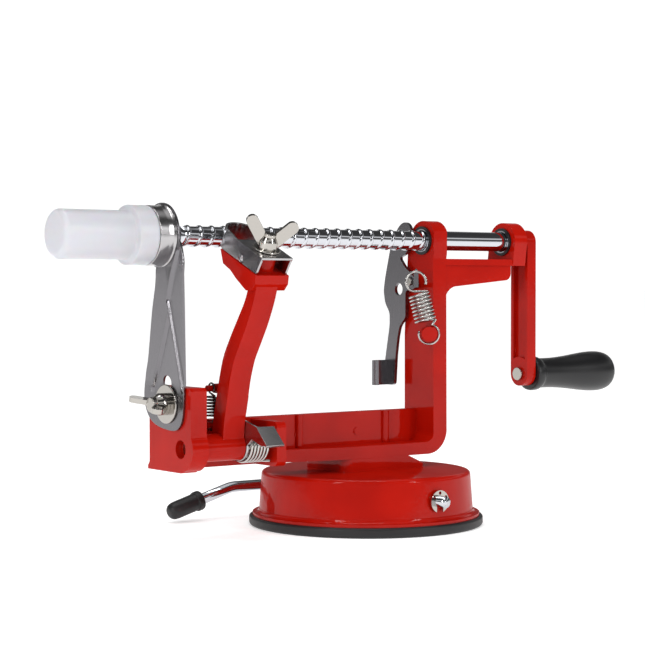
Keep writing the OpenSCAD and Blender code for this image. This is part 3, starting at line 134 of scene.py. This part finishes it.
# %% World: an even white tent, with the dark studio that shiny metal mirrors
FIRST_BAND, LAST_BAND = (0.03, 0.4), (0.97, 0.8)      # height on the sky and grey
BANDS = [(0.10, 0.10), (0.26, 0.07), (0.33, 0.85), (0.42, 0.9), (0.50, 0.07), (0.80, 0.05), (0.90, 0.75)]
world = bpy.data.worlds.new("studio")
scene.world = world
world.use_nodes = True
sky = world.node_tree
sky.nodes.clear()
direction = node(sky, "ShaderNodeTexCoord")
height = node(sky, "ShaderNodeSeparateXYZ", links={"Vector": direction.outputs["Generated"]})
bands = node(sky, "ShaderNodeValToRGB", links={"Fac": height.outputs["Z"]})
for element, (up, grey) in zip(bands.color_ramp.elements, (FIRST_BAND, LAST_BAND)):
    element.position, element.color = up, (grey, grey, grey, 1)
for up, grey in BANDS:
    bands.color_ramp.elements.new(up).color = (grey, grey, grey, 1)
ray = node(sky, "ShaderNodeLightPath")
tent = node(sky, "ShaderNodeMapRange", values={"To Min": 0.72, "To Max": 1.1},
            links={"Value": ray.outputs["Is Camera Ray"]})
unmirrored = node(sky, "ShaderNodeMath", {"operation": "SUBTRACT"}, {0: 1.0}, {1: ray.outputs["Is Glossy Ray"]})
dome = node(sky, "ShaderNodeMath", {"operation": "MULTIPLY"},
            links={0: tent.outputs["Result"], 1: unmirrored.outputs["Value"]})
mirrored = node(sky, "ShaderNodeMath", {"operation": "MULTIPLY"},
                links={0: bands.outputs["Color"], 1: ray.outputs["Is Glossy Ray"]})
strength = node(sky, "ShaderNodeMath", {"operation": "ADD"},
                links={0: dome.outputs["Value"], 1: mirrored.outputs["Value"]})
background = node(sky, "ShaderNodeBackground", links={"Strength": strength.outputs["Value"]})
background.inputs["Color"].default_value = (1, 1, 1, 1)
node(sky, "ShaderNodeOutputWorld", links={"Surface": background.outputs["Background"]})
print("lights:", len(LIGHTS))

# %% [markdown]
# ## Finishes
# Every finish starts from the real one. The casting is zinc alloy under stove enamel: deep red,
# glossy, with a faint orange peel where the enamel drew together as it baked. Shaft, springs and
# lever rod are nickel-chrome plated, and the nuts and bolts are zinc plated. The corer's plate and
# the release lever are stainless sheet, brushed along their length. The coring tube, the latch and
# the blade are brighter rolled strip. The grip and the suction cup are black, the grip satin from
# its mould and the cup duller. The cap is natural polypropylene: milky, so it lets light through
# and hides what lies behind it.

# %% Red stove enamel
PEEL_MM = 1.4        # width of one dimple of the orange peel
CLOUD_MM = 22        # width of the patches where the red is a little deeper
RED = "#B01102"
RED_DEEP = "#9E0C01"
red_enamel, tree, shader = material("stove_enamel_red", Roughness=0.55, Coat_Weight=0.34, Coat_Roughness=0.04,
                                    Specular_IOR_Level=0.02)
place = node(tree, "ShaderNodeTexCoord")
cloud = node(tree, "ShaderNodeTexNoise", values={"Scale": 1 / (CLOUD_MM * MM), "Detail": 3},
             links={"Vector": place.outputs["Object"]})
tint = node(tree, "ShaderNodeValToRGB", links={"Fac": cloud.outputs["Fac"]})
tint.color_ramp.elements[0].position, tint.color_ramp.elements[0].color = 0.3, rgb(RED)
tint.color_ramp.elements[1].position, tint.color_ramp.elements[1].color = 0.7, rgb(RED_DEEP)
tree.links.new(tint.outputs["Color"], shader.inputs["Base Color"])
peel = node(tree, "ShaderNodeTexNoise", values={"Scale": 1 / (PEEL_MM * MM), "Detail": 1},
            links={"Vector": place.outputs["Object"]})
dimples = node(tree, "ShaderNodeBump", values={"Strength": 0.06, "Distance": 0.2 * MM},
               links={"Height": peel.outputs["Fac"]})
tree.links.new(dimples.outputs["Normal"], shader.inputs["Normal"])
tree.links.new(dimples.outputs["Normal"], shader.inputs["Coat Normal"])

# %% Plated, brushed and rolled steel


def metal(name, tone, roughness, spread, grain, bump):
    """Metal whose roughness wanders by spread, with grain of this size in mm along X, Y and Z."""
    made, tree, shader = material(name, Base_Color=rgb(tone), Metallic=1.0)
    place = node(tree, "ShaderNodeTexCoord")
    size = node(tree, "ShaderNodeMapping", values={"Scale": [1 / (s * MM) for s in grain]},
                links={"Vector": place.outputs["Object"]})
    pattern = node(tree, "ShaderNodeTexNoise", values={"Scale": 1.0, "Detail": 4},
                   links={"Vector": size.outputs["Vector"]})
    rough = node(tree, "ShaderNodeMapRange", values={"To Min": roughness - spread, "To Max": roughness + spread},
                 links={"Value": pattern.outputs["Fac"]})
    tree.links.new(rough.outputs["Result"], shader.inputs["Roughness"])
    lines = node(tree, "ShaderNodeBump", values={"Strength": bump, "Distance": 0.05 * MM},
                 links={"Height": pattern.outputs["Fac"]})
    tree.links.new(lines.outputs["Normal"], shader.inputs["Normal"])
    return made


chrome = metal("nickel_chrome_plate", "#CBCDD2", 0.07, 0.03, (3, 3, 3), 0.02)
hardware = metal("zinc_plated_hardware", "#B3AFA9", 0.12, 0.04, (1.5, 1.5, 1.5), 0.12)
spring_wire = metal("nickel_plated_spring_wire", "#BDBBB8", 0.14, 0.04, (2, 2, 2), 0.05)
# The arm spring is the same plated wire, given a darker tone as painted shade because it hangs in shadow behind the
# end block.
shade_darkened_wire = metal("spring_wire_painted_shade", "#5E5C5C", 0.2, 0.05, (2, 2, 2), 0.05)
brushed = metal("brushed_stainless_sheet", "#7A787B", 0.25, 0.07, (0.25, 0.25, 18), 0.16)
rolled = metal("bright_rolled_stainless_strip", "#B4B2B3", 0.2, 0.07, (4, 4, 4), 0.1)

# %% Black rubber, black grip and frosted polypropylene


def moulded(name, tone, grain_mm, bump, **values):
    """A moulded surface with fine grain."""
    made, tree, shader = material(name, Base_Color=rgb(tone), **values)
    place = node(tree, "ShaderNodeTexCoord")
    grain = node(tree, "ShaderNodeTexNoise", values={"Scale": 1 / (grain_mm * MM), "Detail": 2},
                 links={"Vector": place.outputs["Object"]})
    skin = node(tree, "ShaderNodeBump", values={"Strength": bump, "Distance": 0.1 * MM},
                links={"Height": grain.outputs["Fac"]})
    tree.links.new(skin.outputs["Normal"], shader.inputs["Normal"])
    return made


rubber = moulded("black_moulded_rubber", "#101012", 0.5, 0.15, Roughness=0.5)
grip_plastic = moulded("black_satin_polypropylene", "#0D0D0F", 0.45, 0.1, Roughness=0.36)
bush_plastic = moulded("black_acetal", "#161618", 0.6, 0.08, Roughness=0.35)
frosted = moulded("natural_polypropylene", "#F9F9FF", 0.8, 0.05, Roughness=0.32, IOR=1.49,
                  Transmission_Weight=0.55, Subsurface_Weight=0.2, Subsurface_Scale=2 * MM)
print("finishes:", [m.name for m in bpy.data.materials])

# %% [markdown]
# ## Rounded castings and stampings
# CAD edges are perfectly sharp, and nothing real is: a casting leaves its die with rounded edges,
# and enamel rounds them further. The highlight along such an edge is what tells the eye that the
# piece is solid. So the CAD node is copied, its loose triangles are merged back into clean faces,
# and a bevel rounds every sharp edge. Weighted normals keep the large faces flat to the eye.

# %% Helpers: a piece for the table, and a CAD node with rounded edges
SHARP = 30           # faces that meet at more than this angle, in degrees, get a rounded edge


def smooth_by_weight(made):
    """Smooth shading whose large faces stay flat."""
    for face in made.data.polygons:
        face.use_smooth = True
    made.modifiers.new("weigh", "WEIGHTED_NORMAL").keep_sharp = True


def add_piece(name, shape, finish, body, slot, *replaced):
    """Turns a bmesh into a piece that rides on a body and stands for CAD nodes."""
    mesh = bpy.data.meshes.new(name)
    bmesh.ops.dissolve_degenerate(shape, dist=0.001 * MM, edges=shape.edges)
    shape.to_mesh(mesh)
    shape.free()
    mesh.materials.append(finish)
    piece = bpy.data.objects.new(name, mesh)
    scene.collection.objects.link(piece)
    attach(piece, body)
    if replaced:
        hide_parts(*replaced)
    smooth_by_weight(piece)
    return piece


def body_of(name):
    """The CAD body that a node belongs to."""
    return next(b for b, members in frame["record"]["behaviour"]["bodies"].items() if name in members)


def slot_of(name):
    """The record's material slot of a node."""
    return next(s["material_slot"] for s in frame["record"]["subparts"] if s["node"] == name)


def clean_copy(name):
    """A bmesh of a CAD node with its triangles merged into flat faces."""
    shape = bmesh.new()
    shape.from_mesh(nodes[name].data)
    bmesh.ops.remove_doubles(shape, verts=shape.verts, dist=0.001 * MM)
    bmesh.ops.dissolve_limit(shape, angle_limit=math.radians(0.5), verts=shape.verts, edges=shape.edges,
                             use_dissolve_boundaries=False)
    return shape


def round_edges(shape, radius_mm, segments):
    """Bevels the edges whose faces meet at more than SHARP degrees."""
    sharp = [e for e in shape.edges if e.is_manifold and e.calc_face_angle(0) > math.radians(SHARP)]
    bmesh.ops.bevel(shape, geom=sharp, offset=radius_mm * MM, offset_type="OFFSET", segments=segments,
                    profile=0.5, affect="EDGES", clamp_overlap=True, material=-1)


def stands_for(name, shape, finish):
    """Adds a shape as the piece that stands for one CAD node."""
    made = add_piece("dressed_" + name, shape, finish, body_of(name), slot_of(name), name)
    print(name, "faces:", len(made.data.polygons))


def rounded(name, finish, radius_mm, segments=2):
    """Adds a copy of a CAD node with its edges rounded."""
    shape = clean_copy(name)
    round_edges(shape, radius_mm, segments)
    stands_for(name, shape, finish)


# %% Castings
rounded("frame_casting", red_enamel, 1.0, 3)
rounded("base_housing", red_enamel, 0.8, 3)
rounded("crank_arm", red_enamel, 0.8, 3)
rounded("peeler_arm", red_enamel, 0.9, 3)

# %% Stampings and small steel pieces
SHEET_EDGE = 0.18    # the radius on the edges of sheet metal, in mm
rounded("release_lever", brushed, SHEET_EDGE)
rounded("latch_lever", rolled, SHEET_EDGE)
for name in ("corer_nut", "blade_nut", "corer_bolt", "blade_bolt", "corer_washer", "blade_washer",
             "release_pivot", "frame_screws", "grip_pin"):
    rounded(name, hardware, 0.35)

# %% [markdown]
# ## Pressed sheet: creases and a dimple
# Three creases stiffen the corer's plate. A press pushes the whole sheet out along a line, so the
# front and the back move together. The mesh is first cut along lines beside each crease, which
# gives it points to move, and then each point is pushed out by how near the crease it lies. The
# dimple in the blade's wall is made the same way, by how near each point is to its middle.

# %% Helpers: cuts and a smooth hump


def cut(shape, planes, **options):
    """Cuts a mesh along planes that are each a point and a normal."""
    for point, normal in planes:
        bmesh.ops.bisect_plane(shape, geom=shape.verts[:] + shape.edges[:] + shape.faces[:], dist=1e-6,
                               plane_co=point, plane_no=normal, **options)


def hump(distance, reach):
    """A smooth hump: 1 in its middle and 0 from reach on."""
    near = max(0.0, 1 - distance / reach)
    return near * near * (3 - 2 * near)


# %% Cut lines beside the creases, given by their ends as (y, z) in mm
CREASES = [((-4.1, 96.4), (-13.2, 116)), ((-10, 60.3), (-4.1, 96.4)), ((12.4, 60.1), (-5, 91.5))]
CREASE_HALF, CREASE_RISE, CREASE_END = 1.5 * MM, 1.2 * MM, 1 * MM
plate = clean_copy("corer_arm")
round_edges(plate, SHEET_EDGE, 2)
ridges = []
for low, high in CREASES:
    low, high = Vector(low) * MM, Vector(high) * MM
    across = Vector((high.y - low.y, low.x - high.x)).normalized()
    ridges.append((low, high, across))
    beside = [low + across * share * CREASE_HALF for share in (-1, -0.66, -0.33, 0, 0.33, 0.66, 1)]
    cut(plate, [((0, *spot), (0, *across)) for spot in beside])
    cut(plate, [((0, 0, end.y + shift * CREASE_END), (0, 0, 1)) for end in (low, high) for shift in (-1, 0, 1)])
print("creases:", len(ridges))

# %% Press the creases into the plate
for v in plate.verts:
    push = 0.0
    for low, high, across in ridges:
        inside = min(v.co.z - low.y, high.y - v.co.z)
        fade = min(1.0, max(0.0, 0.5 + inside / (2 * CREASE_END)))
        push = max(push, hump(abs((v.co.yz - low).dot(across)), CREASE_HALF) * fade)
    v.co.x -= CREASE_RISE * push
bmesh.ops.recalc_face_normals(plate, faces=plate.faces)
stands_for("corer_arm", plate, brushed)

# %% Press a dimple into the blade's outer wall
DIMPLE = Vector((-24.9, 112.3)) * MM
DIMPLE_R, DIMPLE_RISE, WALL = 2.1 * MM, 0.9 * MM, 1 * MM
blade = clean_copy("peeling_blade")
round_edges(blade, SHEET_EDGE, 2)
wall_x = min(v.co.x for v in blade.verts)
for share in (-1, -0.7, -0.35, 0, 0.35, 0.7, 1):
    cut(blade, [((0, DIMPLE.x + share * DIMPLE_R, 0), (0, 1, 0)), ((0, 0, DIMPLE.y + share * DIMPLE_R), (0, 0, 1))])
for v in blade.verts:
    if v.co.x < wall_x + WALL:
        v.co.x -= DIMPLE_RISE * hump((v.co.yz - DIMPLE).length, DIMPLE_R)
bmesh.ops.recalc_face_normals(blade, faces=blade.faces)
stands_for("peeling_blade", blade, rolled)

# %% [markdown]
# ## Turned and moulded pieces
# A lathe turns a profile round an axis. The CAD model does the same with few facets; here the
# profile's corners are rounded first, because a moulded or rolled edge always is, and the turn
# gets enough steps to look round from close by.

# %% Helpers: rounded profiles and the lathe
ALONG_X = Matrix(((0, 0, 1, 0), (0, 1, 0, 0), (-1, 0, 0, 0), (0, 0, 0, 1)))       # towards the crank
AGAINST_X = Matrix(((0, 0, -1, 0), (0, 1, 0, 0), (1, 0, 0, 0), (0, 0, 0, 1)))     # towards the apple's core


def softened(points, radius, steps=4):
    """Rounds the corners of a line of points, by at most radius and 0.45 of each side."""
    points = [Vector(p) for p in points]
    out = [points[0]]
    for a, b, c in zip(points, points[1:], points[2:]):
        start = b + (a - b) * min(radius / (a - b).length, 0.45)
        stop = b + (c - b) * min(radius / (c - b).length, 0.45)
        for k in range(steps + 1):
            t = k / steps
            out.append(start * (1 - t) ** 2 + 2 * b * t * (1 - t) + stop * t * t)
    return out + [points[-1]]


def lathe(profile, place, steps=128):
    """Turns (radius, length) points in mm into a closed solid, in metres, at a place in mm."""
    shape = bmesh.new()
    verts = [shape.verts.new((max(p[0], 0), 0, p[1])) for p in profile]
    edges = [shape.edges.new(pair) for pair in zip(verts, verts[1:])]
    bmesh.ops.spin(shape, geom=verts + edges, cent=(0, 0, 0), axis=(0, 0, 1), angle=2 * math.pi,
                   steps=steps, use_merge=True)
    bmesh.ops.remove_doubles(shape, verts=shape.verts, dist=0.001)
    bmesh.ops.recalc_face_normals(shape, faces=shape.faces)
    shape.transform(Matrix.Scale(MM, 4) @ place)
    return shape


# %% Suction cup
cup_profile = [(0, 0), (49.2, 0), (50, 0.8), (50, 3.6), (49.4, 4.2), (42.1, 4.2), (42.1, 3.2), (12, 3.2), (12, 6.2),
               (0, 6.2)]
stands_for("suction_cup", lathe(softened(cup_profile, 0.5), Matrix.Identity(4), 160), rubber)

# %% Crank grip, with a pinched neck and a round end
neck, bulb, collar, length = 6.789, 9.3, 7.812, 51.5      # radii and length in mm
SWELL = [(0.26, 0), (0.38, 0.16), (0.5, 0.42), (0.62, 0.74), (0.72, 0.94), (0.8, 1), (0.87, 0.92), (0.94, 0.55)]
grip_profile = [(0, 0), (collar - 0.85, 0), (collar, 0.65), (collar, 4.0), (collar - 0.85, 5.2), (neck, 6.5)]
grip_profile += [(neck + (bulb - neck) * rise, length * run) for run, rise in SWELL]
grip_profile += [(neck * 0.72, length * 0.985), (neck * 0.35, length), (0, length)]
grip_place = Matrix.Translation((94.2, 0, 61.4)) @ ALONG_X
stands_for("crank_grip", lathe(softened(grip_profile, 4), grip_place, 96), grip_plastic)

# %% Coring tube and safety cap, both turned round the shaft's axis
tube_profile = [(9.4, -1.6), (10.8, -1.6), (10.8, -1.0), (10.2, -1.0), (10.2, 0), (12.7, 0), (12.1, 0.9), (11.9, 3),
                (11.9, 7), (10.2, 7), (10.2, 13), (9.55, 14), (9.4, 14), (9.4, -1.6)]
tube_place = Matrix.Translation((-102.4, 0, SHAFT_Z)) @ AGAINST_X
stands_for("corer_ring", lathe(softened(tube_profile, 0.4), tube_place, 160), rolled)
cap_profile = [(10.25, 0), (11.8, 0), (11.8, 8.2), (11.55, 8.7), (9.6, 9.2), (9.6, 38.4), (8, 40), (0, 40),
               (0, 38.8), (8.4, 38.8), (8.4, 7.3), (10.25, 7.3), (10.25, 0)]
cap_place = Matrix.Translation((-109.5, 0, SHAFT_Z)) @ AGAINST_X
stands_for("safety_cap", lathe(softened(cap_profile, 0.7), cap_place, 160), frosted)

# %% [markdown]
# ## Drive shaft
# The thread is one ridge that winds round the shaft. A profile with a ridge at each lead is turned
# once round the axis while it moves on by one lead, so each ridge meets the next one: that is how a
# screw thread works, and it takes one spin with a shift.

# %% Screw thread
LEAD, TURNS, CORE, CREST, STEPS = 5.75, 22, 4.0, 4.5, 64  # mm, turns, radii in mm, steps of one turn
THREAD_END = 29.45
RIDGE = [(0, 0.0), (0.15, 0.12), (0.38, 0.85), (0.62, 1.0), (1.28, 1.0), (1.52, 0.85), (1.75, 0.12), (1.9, 0.0)]
start = 29.5 - TURNS * LEAD
line = [(start - 5, 0.0)] + [(start - LEAD + i * LEAD + x, rise) for i in range(1, TURNS + 1) for x, rise in RIDGE]
thread = bmesh.new()
verts = [thread.verts.new((x, 0, CORE + (CREST - CORE) * rise)) for x, rise in line]
edges = [thread.edges.new(pair) for pair in zip(verts, verts[1:])]
bmesh.ops.spin(thread, geom=verts + edges, cent=(0, 0, 0), axis=(1, 0, 0), angle=-2 * math.pi,
               dvec=(LEAD / STEPS, 0, 0), steps=STEPS, use_merge=False)
bmesh.ops.remove_doubles(thread, verts=thread.verts, dist=0.002)
cut(thread, [((THREAD_END, 0, 0), (1, 0, 0))], clear_outer=True)
bmesh.ops.holes_fill(thread, edges=[e for e in thread.edges if e.is_boundary], sides=0)
thread.transform(Matrix.Scale(MM, 4) @ Matrix.Translation((0, 0, SHAFT_Z)))
bmesh.ops.recalc_face_normals(thread, faces=thread.faces)
stands_for("drive_shaft", thread, chrome)

# %% Core and plain journal of the shaft
core_profile = [(0, -102), (3.5, -102), (3.97, -101.5), (3.97, 28.5), (3.97, 29.4), (4.3, 29.6), (4.3, 87.2),
                (4.0, 87.2), (4.0, 93.5), (3.6, 93.9), (0, 93.9)]
core = lathe(core_profile, Matrix.Translation((0, 0, SHAFT_Z)) @ ALONG_X, 96)
add_piece("shaft_core", core, chrome, body_of("drive_shaft"), slot_of("drive_shaft"))

# %% [markdown]
# ## Springs and bent rods
# A spring is round wire along a curve. The curve is a formula: a loop at each end and a helix
# between them. Each point gets a ring of the wire's radius, and the rings follow the curve without
# twisting, so the wire stays round in every bend.

# %% Helpers: spring curve and round wire


def spring_path(low, top, coils, out, loop_r, r, pitch, rings=28):
    """Points of an extension spring between the centres of its two loops."""
    low, top, out = Vector(low), Vector(top), Vector(out)
    axis = (top - low).normalized()
    side = out.cross(axis).normalized()
    face = axis.cross(side)
    base = (low + top) / 2 - axis * coils * pitch / 2

    def turn(centre, radius, angle, u, v):
        return centre + radius * (math.cos(math.radians(angle)) * u + math.sin(math.radians(angle)) * v)

    low_loop = [turn(low, loop_r, -300 + 300 * i / rings, axis, side) for i in range(rings - 2)]
    helix = [turn(base + axis * pitch * i / rings, r, 360 * i / rings, -side, -face)
             for i in range(coils * rings + 1)]
    top_loop = [turn(top, loop_r, 180 - 300 * i / rings, axis, side) for i in range(2, rings + 1)]
    return low_loop + helix + top_loop


def wire(points, radius, sides=12):
    """A bmesh of round wire along points in mm, with its ends closed, in metres."""
    shape = bmesh.new()
    points = [Vector(p) for p in points]
    normal = None
    loops = []
    for i, p in enumerate(points):
        tangent = (points[min(i + 1, len(points) - 1)] - points[max(i - 1, 0)]).normalized()
        normal = tangent.orthogonal() if normal is None else normal
        normal = (normal - normal.dot(tangent) * tangent).normalized()
        across = tangent.cross(normal)
        loops.append([shape.verts.new(p + radius * (math.cos(a) * normal + math.sin(a) * across))
                      for a in (2 * math.pi * k / sides for k in range(sides))])
    for a, b in zip(loops, loops[1:]):
        for k in range(sides):
            shape.faces.new((a[k], a[(k + 1) % sides], b[(k + 1) % sides], b[k]))
    shape.faces.new(loops[0][::-1])
    shape.faces.new(loops[-1])
    bmesh.ops.recalc_face_normals(shape, faces=shape.faces)
    shape.transform(Matrix.Scale(MM, 4))
    return shape


# %% Extension springs of the release lever and the arm
path = spring_path((26.147, -10.735, 80.8), (21.645, -7.404, 103.4), 8, (-0.5948, -0.8039, 0), 4.3, 4.3, 1.55)
stands_for("release_spring", wire(path, 0.525), spring_wire)
# The arm spring's darker wire is painted shade.
path = spring_path((-78.7, 0, 45.65), (-78.7, 0, 60.4), 7, (-1, 0, 0), 2.1, 2.5, 1.25)
stands_for("arm_spring", wire(path, 0.4, 10), shade_darkened_wire)

# %% Torsion spring of the latch
TURN_COUNT, TURN_STEPS, COIL_X, COIL_L, COIL_R = 6, 28, -68.25, 9.36, 6.5
AXLE_Y, AXLE_Z = -6.6, 37.2
total = TURN_STEPS * TURN_COUNT
coil = [(COIL_X, 0.2, 31.3)]
coil += [(COIL_X + COIL_L * i / total, AXLE_Y + COIL_R * math.cos(a), AXLE_Z + COIL_R * math.sin(a))
         for i in range(total + 1) for a in [math.radians(-90 - 360 * i / TURN_STEPS)]]
coil += [(COIL_X + COIL_L, -12.6, 31.1)]
stands_for("latch_spring", wire(coil, 0.55), spring_wire)

# %% Suction lever's rod: through the cover, round a bend, then back along it and down
ROD_X, ROD_Y, ROD_Z, BEND, CURVE, RUN, TAIL, DIP = 2.0, 49.1, 13.5, 3.2, 18.0, 32.8, 26, math.radians(16)
out_x = ROD_X - BEND - RUN
dip_x, dip_z = out_x - CURVE * math.sin(DIP), ROD_Z - CURVE * (1 - math.cos(DIP))
route = [(ROD_X, -50.5, ROD_Z), (ROD_X, -7.45, ROD_Z), (ROD_X, -5.95, ROD_Z - 1.5), (ROD_X, 5.95, ROD_Z - 1.5),
         (ROD_X, 7.45, ROD_Z)]
route += [(ROD_X - BEND * (1 - math.cos(a)), ROD_Y - BEND * (1 - math.sin(a)), ROD_Z)
          for a in (math.pi / 2 * i / 14 for i in range(15))]
route += [(out_x - CURVE * math.sin(a), ROD_Y, ROD_Z - CURVE * (1 - math.cos(a)))
          for a in (DIP * i / 10 for i in range(11))]
route += [(dip_x - TAIL * math.cos(DIP), ROD_Y, dip_z - TAIL * math.sin(DIP))]
stands_for("lever_rod", wire(route, 2.4, 40), chrome)

# %% Rubber end of the suction lever
end_profile = [(0, 12.2), (2.45, 12.2), (2.45, 0), (4.3, 0), (4.3, 3), (3.8, 3), (3.8, 13.2), (3.5, 15.2),
               (2.4, 16.6), (0, 17)]
dipped = Matrix.Rotation(-DIP, 4, "Y") @ Matrix.Translation((0, 0, CURVE)) @ Matrix.Rotation(-math.pi / 2, 4, "Y")
end_place = Matrix.Translation((out_x, ROD_Y, ROD_Z - CURVE)) @ dipped @ Matrix.Translation((0, 0, 14))
stands_for("lever_grip", lathe(softened(end_profile, 0.8), end_place, 64), rubber)

# %% Finishes on the nodes that keep their CAD shape
KEPT = {"left_bush": bush_plastic, "right_bush": bush_plastic, "shaft_sleeves": chrome, "apple_fork": chrome,
        "lever_clip": hardware, "peeler_axle": hardware, "cup_plunger": hardware}
for name, finish in KEPT.items():
    mesh = nodes[name].data
    mesh.materials.clear()
    mesh.materials.append(finish)
    mesh.shade_smooth()
    mesh.set_sharp_from_angle(angle=math.radians(35))
print("kept:", sorted(KEPT))
